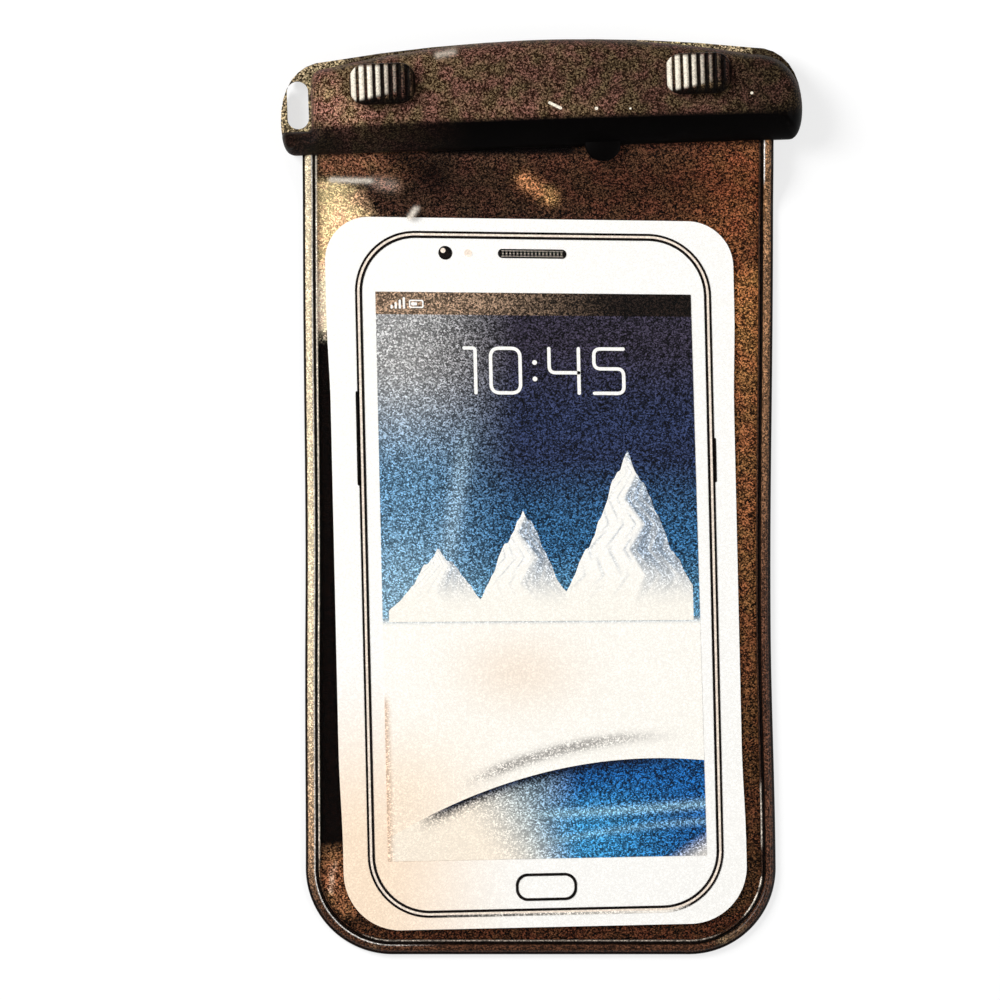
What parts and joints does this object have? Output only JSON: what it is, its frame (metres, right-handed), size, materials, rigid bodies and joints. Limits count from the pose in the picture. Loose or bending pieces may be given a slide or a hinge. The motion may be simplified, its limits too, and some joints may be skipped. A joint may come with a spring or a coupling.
{
  "type": "waterproof phone pouch",
  "caption": "Flat clear film pouch with a rounded weld rim, shut by a two-part clamp bar with twist latches, holding a printed phone card.",
  "frame": {"origin": "on the surface that the pouch lies on, under the middle of its footprint", "axes": "+Z out of the pouch's front, +Y from the bag's round bottom to the clamp, +X to the right seen from the front"},
  "size_m": [0.114, 0.2002, 0.0162],
  "materials": {
    "clamp_plastic": "moulded, finely textured",
    "gasket_rubber": "matt",
    "nylon": "satin",
    "screw_steel": "zinc plated",
    "clear_film": "glossy, clear",
    "dark_film": "glossy",
    "rim_plastic": "glossy, cloudy clear",
    "white_board": "coated board",
    "black_ink": "printed",
    "cream_ink": "printed",
    "brown_ink": "printed",
    "navy_ink": "printed",
    "blue_ink": "printed",
    "white_ink": "printed"
  },
  "bodies": {
    "pouch": {"front_bar": "clamp_plastic", "rear_bar": "clamp_plastic", "seal_gasket": "gasket_rubber", "front_film": "clear_film", "back_film": "dark_film", "welded_rim": "rim_plastic", "insert_card": "white_board", "print_outline_outer": "black_ink", "print_border": "cream_ink", "print_outline_inner": "black_ink", "print_earpiece": "black_ink", "print_sensor": "cream_ink", "print_lens": "black_ink", "print_home_key": "black_ink", "print_status_bar": "brown_ink", "print_night_sky": "navy_ink", "print_sky": "blue_ink", "print_mist": "cream_ink", "print_bay": "blue_ink", "print_ridge": "white_ink", "print_numeral_1": "white_ink", "print_numeral_2": "white_ink", "print_numeral_3": "white_ink", "print_numeral_4": "white_ink", "print_colon_upper": "white_ink", "print_colon_lower": "white_ink"},
    "left_latch": {"left_latch_knob": "clamp_plastic", "left_latch_washer": "nylon", "left_latch_foot": "nylon", "left_latch_screw": "screw_steel"},
    "right_latch": {"right_latch_knob": "clamp_plastic", "right_latch_washer": "nylon", "right_latch_foot": "nylon", "right_latch_screw": "screw_steel"}
  },
  "joints": [
    {"name": "left_latch_turn", "type": "hinge", "parent": "pouch", "child": "left_latch", "pos_m": [-0.03474, 0.09016, 0.0129], "axis": [0, 0, 1], "range_deg": [0, 90]},
    {"name": "right_latch_turn", "type": "hinge", "parent": "pouch", "child": "right_latch", "pos_m": [0.03422, 0.09245, 0.0129], "axis": [0, 0, -1], "range_deg": [0, 90]}
  ]
}
